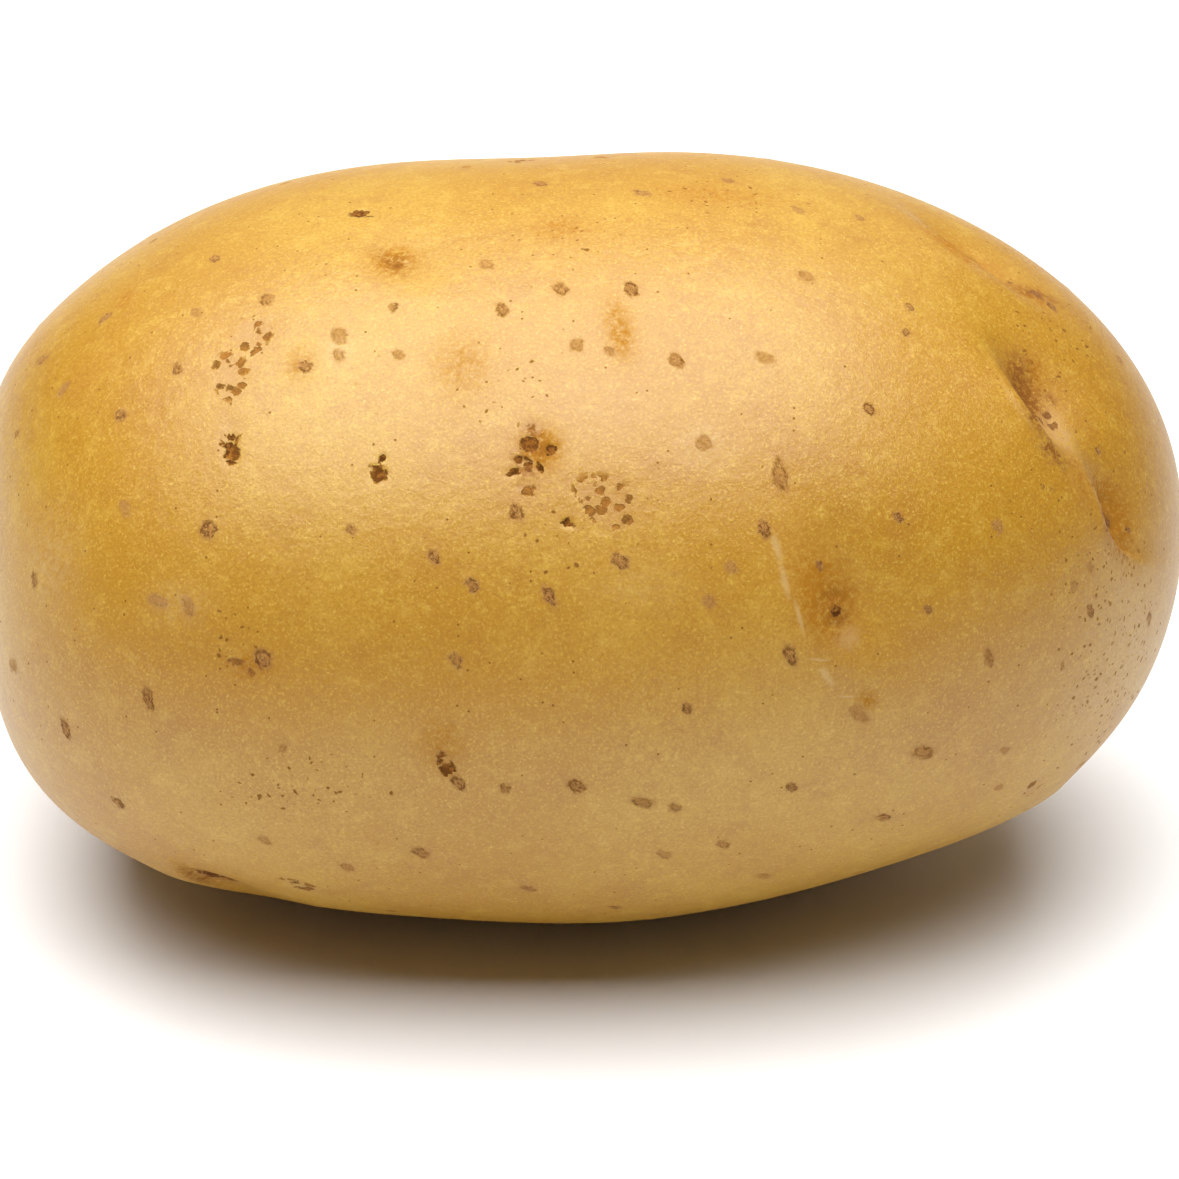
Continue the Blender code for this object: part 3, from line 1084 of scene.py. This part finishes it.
@dataclass
class MarkStrewer:
    """Strews lenticels over the skin and stamps them and the placed marks on it.

    Each face keeps the middle, the two axes and the look of the mark it is nearest to, in
    millimetres, and each point is lifted or sunk by its mark.
    """

    placed: bpy.types.Object
    finish: bpy.types.Material
    spacing: float = 5.2 * MM
    density: float = 16000.0
    shortest: float = 0.9
    longest: float = 1.8
    seed: int = 7
    tree: bpy.types.NodeTree = field(init=False)

    def inputs(self) -> dict[str, tuple[str, Any]]:
        """Gives the socket type and the value of each of the tree's named inputs."""
        return {
            "Placed marks": ("NodeSocketObject", self.placed),
            "Spacing": ("NodeSocketFloat", self.spacing),
            "Density": ("NodeSocketFloat", self.density),
            "Shortest": ("NodeSocketFloat", self.shortest),
            "Longest": ("NodeSocketFloat", self.longest),
            "Seed": ("NodeSocketInt", self.seed),
            "Finish": ("NodeSocketMaterial", self.finish),
        }

    def build_tree(self) -> None:
        """Builds the Geometry Nodes tree."""
        self.tree = bpy.data.node_groups.new("stamp_marks", "GeometryNodeTree")
        face = self.tree.interface
        face.new_socket("Skin", in_out="INPUT", socket_type="NodeSocketGeometry")
        for name, (kind, _) in self.inputs().items():
            face.new_socket(name, in_out="INPUT", socket_type=kind)
        face.new_socket("Skin", in_out="OUTPUT", socket_type="NodeSocketGeometry")
        bench = StampBench(self.tree)
        inputs = bench.add("NodeGroupInput")
        marks = bench.all_marks(inputs)
        skin = bench.stamp(inputs.outputs["Skin"], marks)
        skin = bench.add("GeometryNodeRealizeInstances", {"Geometry": skin}).outputs[0]
        wires = {"Geometry": skin, "Material": inputs.outputs["Finish"]}
        skin = bench.add("GeometryNodeSetMaterial", wires).outputs[0]
        bench.add("NodeGroupOutput", {0: skin})

    def dress(self, skin: bpy.types.Object) -> bpy.types.Mesh:
        """Runs the tree on a skin.

        Args:
            skin: The skin's object. Its modifier is removed again.

        Returns:
            The stamped mesh.
        """
        self.build_tree()
        modifier = skin.modifiers.new("stamp_marks", "NODES")
        modifier.node_group = self.tree
        values = self.inputs()
        for item in self.tree.interface.items_tree:
            if item.in_out == "INPUT" and item.name in values:
                modifier[item.identifier] = values[item.name][1]
        mesh = evaluated_mesh(skin)
        skin.modifiers.clear()
        return mesh


def evaluated_mesh(piece: bpy.types.Object) -> bpy.types.Mesh:
    """Applies a piece's modifiers.

    Args:
        piece: The piece, which stays as it is.

    Returns:
        A plain new mesh.
    """
    graph = bpy.context.evaluated_depsgraph_get()
    graph.update()
    return bpy.data.meshes.new_from_object(
        piece.evaluated_get(graph), preserve_all_data_layers=True, depsgraph=graph
    )


# ---- the tuber


@dataclass
class Tuber:
    """The whole potato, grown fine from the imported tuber."""

    node: bpy.types.Object
    finish: SkinFinish = SkinFinish()
    smoothing_levels: int = 2
    least_nearness: float = 0.35  # of a face to an eye, to be halved
    brow_band: tuple[float, float] = (-1.6, 3.2)  # the halved faces, in mm inside the brow
    rest_spot_height: float = 0.05 * MM  # the skin below it is left flat
    weld: float = 0.001 * MM
    mark_margin: float = 1.2
    lenticel_clearance: float = 7.5 * MM
    scab_clearance: float = 3.5 * MM
    skin_map: SkinMap = field(init=False)

    def __post_init__(self) -> None:
        """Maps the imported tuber."""
        self.skin_map = SkinMap(self.node)

    def build(self) -> bpy.types.Object:
        """Builds the potato.

        Returns:
            The finished piece.
        """
        skin = self.fine_skin()
        self.refine(skin.data)
        self.raise_eyes(skin.data)
        self.store_mark_room(skin.data)
        material = self.finish.build()
        placed = self.placed_marks()
        strewer = MarkStrewer(placed, material)
        mesh = strewer.dress(skin)
        bpy.data.objects.remove(skin)
        bpy.data.objects.remove(placed)
        mesh.name = "potato_tuber"
        mesh.shade_smooth()
        return link_object("potato_tuber", mesh)

    def fine_skin(self) -> bpy.types.Object:
        """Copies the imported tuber, turns its triangles into four-sided faces and smooths them.

        Returns:
            An object with the fine mesh.
        """
        copy = bmesh.new()
        copy.from_mesh(self.node.data)
        bmesh.ops.remove_doubles(copy, verts=copy.verts[:], dist=self.weld)
        wide = math.pi
        bmesh.ops.join_triangles(
            copy, faces=copy.faces[:], angle_face_threshold=wide, angle_shape_threshold=wide
        )
        mesh = bpy.data.meshes.new("fine_skin")
        copy.to_mesh(mesh)
        copy.free()
        skin = link_object("fine_skin", mesh)
        smoother = skin.modifiers.new("smooth", "SUBSURF")
        smoother.levels = self.smoothing_levels
        smoother.render_levels = self.smoothing_levels
        skin.data = evaluated_mesh(skin)
        skin.modifiers.clear()
        return skin

    def refine(self, mesh: bpy.types.Mesh) -> None:
        """Halves the faces round the eyes' brows and the placed marks.

        Args:
            mesh: The skin's mesh, which is changed.
        """
        fine = bmesh.new()
        fine.from_mesh(mesh)
        fine.faces.ensure_lookup_table()
        middles = np.array([f.calc_center_median() for f in fine.faces])
        wanted = np.zeros(len(middles), bool)
        for eye in EYES:
            inside, _, near = eye.local(middles, self.skin_map)
            in_band = (inside > self.brow_band[0]) & (inside < self.brow_band[1])
            wanted |= (near > self.least_nearness) & in_band
        for mark in PLACED_MARKS:
            middle = self.skin_map.axes(mark.place).middle
            reach = (mark.length / 2 + self.mark_margin / 2) * MM
            wanted |= np.linalg.norm(middles - middle, axis=1) < reach
        edges = {e for i in np.flatnonzero(wanted) for e in fine.faces[i].edges}
        edges = sorted(edges, key=lambda e: e.index)
        bmesh.ops.subdivide_edges(fine, edges=edges, cuts=1, use_grid_fill=True)
        fine.to_mesh(mesh)
        fine.free()

    def raise_eyes(self, mesh: bpy.types.Mesh) -> None:
        """Folds the eyes' brows into the skin, and stores the tints of eyes and patches on it.

        Args:
            mesh: The skin's mesh, which is changed.
        """
        points = self.column(mesh, "co")
        normals = self.column(mesh, "normal")
        rise = np.zeros(len(points))
        tints = np.zeros((len(points), len(Tint)))
        covers = [(patch.tint, patch.cover(points, self.skin_map)) for patch in PATCHES]
        for eye in EYES:
            rise += eye.rise(points, self.skin_map)
            warm, dark = eye.stain_and_shade(points, self.skin_map)
            covers += [(Tint.OCHRE, warm), (Tint.UMBER_AND_SHADE, dark)]
        for tint, cover in covers:
            tints[:, tint.value] = np.maximum(tints[:, tint.value], cover)
        lying = points[:, 2] < self.rest_spot_height
        points = points + normals * (rise * ~lying * MM)[:, None]
        mesh.vertices.foreach_set("co", points.ravel())
        store(mesh, "tints", tints[:, : Tint.SPECKS.value])
        store(mesh, "specks", tints[:, Tint.SPECKS.value])
        mesh.update()

    def column(self, mesh: bpy.types.Mesh, name: str) -> np.ndarray:
        """Reads a vector of each of a mesh's points.

        Args:
            mesh: The mesh.
            name: "co" for where the points are, or "normal".

        Returns:
            A row for each point.
        """
        flat = np.empty(len(mesh.vertices) * 3)
        mesh.vertices.foreach_get(name, flat)
        return flat.reshape(-1, 3)

    def store_mark_room(self, mesh: bpy.types.Mesh) -> None:
        """Stores where there is room for strewn lenticels: away from the placed marks.

        Args:
            mesh: The skin's mesh, which is changed.
        """
        points = self.column(mesh, "co")
        room = np.ones(len(points))
        for mark in PLACED_MARKS:
            distance = np.linalg.norm(points - self.skin_map.axes(mark.place).middle, axis=1)
            clearance = self.scab_clearance if mark.kind.value[1] else self.lenticel_clearance
            room[distance < clearance] = 0
        store(mesh, "mark_room", room)

    def placed_marks(self) -> bpy.types.Object:
        """Sets a point on the skin for each placed mark.

        Returns:
            An object with the points, their axes and their looks.
        """
        every = [(mark, self.skin_map.axes(mark.place, mark.lean)) for mark in PLACED_MARKS]
        mesh = bpy.data.meshes.new("placed_marks")
        mesh.from_pydata([axes.middle for _, axes in every], [], [])
        columns = {
            "mark_along": [axes.inward * 2 / mark.length for mark, axes in every],
            "mark_across": [axes.sideways * 2 / mark.width for mark, axes in every],
            "mark_look": [np.array(mark.kind.value) for mark, _ in every],
        }
        for name, vectors in columns.items():
            store(mesh, name, np.array(vectors))
        return link_object("placed_marks", mesh)


# ---- the studio


@dataclass(frozen=True)
class SoftLight:
    """A wide soft light. It faces down, or forwards where its tilt about X is below 0 degrees."""

    name: str
    size: tuple[float, float]
    power: float
    place: tuple[float, float, float]
    tilt: float = 0.0

    def hang(self) -> None:
        """Hangs the light in the scene."""
        light = bpy.data.lights.new(self.name, "AREA")
        light.shape = "RECTANGLE"
        light.size, light.size_y = self.size
        light.energy = self.power
        lamp = link_object(self.name, light)
        lamp.location = self.place
        lamp.rotation_euler = (math.radians(self.tilt), 0, 0)


@dataclass
class Studio:
    """A pale floor, a wide soft light overhead, a weak one behind, and the camera."""

    box: tuple[Vector, Vector]
    floor_size: float = 6.0
    floor_colour: Colour = (0.885, 0.885, 0.885, 1)
    floor_roughness: float = 0.9
    lights: tuple[SoftLight, ...] = (
        SoftLight("softbox", (0.80, 0.76), 11.1, (-0.055, -0.02, 0.60)),
        SoftLight("backdrop", (1.3, 0.7), 1.6, (0, 0.95, 0.45), -66.0),
    )
    surround: float = 0.03
    camera_distance: float = 0.600
    camera_elevation: float = 30.0
    lens: float = 219.2
    aim_right: float = 0.56 * MM
    aim_down: float = 5.05 * MM

    def build(self) -> None:
        """Builds the floor, the lights, the surroundings and the camera."""
        self.build_floor()
        for light in self.lights:
            light.hang()
        self.build_surround()
        self.build_camera()
        view = bpy.context.scene.view_settings
        view.view_transform = "Standard"
        view.look = "None"

    def build_floor(self) -> None:
        """Lays a pale matt floor."""
        mesh = bpy.data.meshes.new("floor")
        half = self.floor_size / 2
        corners = [(-half, -half, 0), (half, -half, 0), (half, half, 0), (-half, half, 0)]
        mesh.from_pydata(corners, [], [(0, 1, 2, 3)])
        material = bpy.data.materials.new("pale_floor")
        material.use_nodes = True
        shader = material.node_tree.nodes["Principled BSDF"]
        shader.inputs["Base Color"].default_value = self.floor_colour
        shader.inputs["Roughness"].default_value = self.floor_roughness
        shader.inputs["Specular IOR Level"].default_value = 0.0
        mesh.materials.append(material)
        floor = link_object("floor", mesh)

    def build_surround(self) -> None:
        """Fills the room with an even pale light."""
        world = bpy.data.worlds.new("surround")
        world.use_nodes = True
        background = world.node_tree.nodes["Background"]
        background.inputs["Color"].default_value = (1, 1, 1, 1)
        background.inputs["Strength"].default_value = self.surround
        bpy.context.scene.world = world

    def build_camera(self) -> None:
        """Sets the camera in front of and above the potato."""
        low, high = self.box
        middle = Vector((0, 0, (low[2] + high[2]) / 2))
        tilt = math.radians(self.camera_elevation)
        back = Vector((0, -math.cos(tilt), math.sin(tilt)))
        up = Vector((0, math.sin(tilt), math.cos(tilt)))
        aim = middle + Vector((self.aim_right, 0, 0)) - up * self.aim_down
        lens = bpy.data.cameras.new("camera")
        lens.lens = self.lens
        lens.sensor_width = 36
        lens.clip_start = 0.01
        camera = link_object("camera", lens)
        camera.location = aim + back * self.camera_distance
        camera.rotation_euler = (math.radians(90 - self.camera_elevation), 0, 0)
        bpy.context.scene.camera = camera


def main() -> None:
    """Builds the studio and the potato, and reports them."""
    logging.basicConfig(level=logging.INFO, format="%(name)s: %(message)s", force=True)
    Studio(CAD_BOX).build()
    tuber = Tuber(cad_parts[TUBER_NODE]).build()
    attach(tuber, "root")
    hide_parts(TUBER_NODE)
    triangles = sum(len(p.vertices) - 2 for p in tuber.data.polygons)
    LOG.info("%s: %d triangles, rides on root", tuber.name, triangles)


if __name__ == "__main__":
    main()
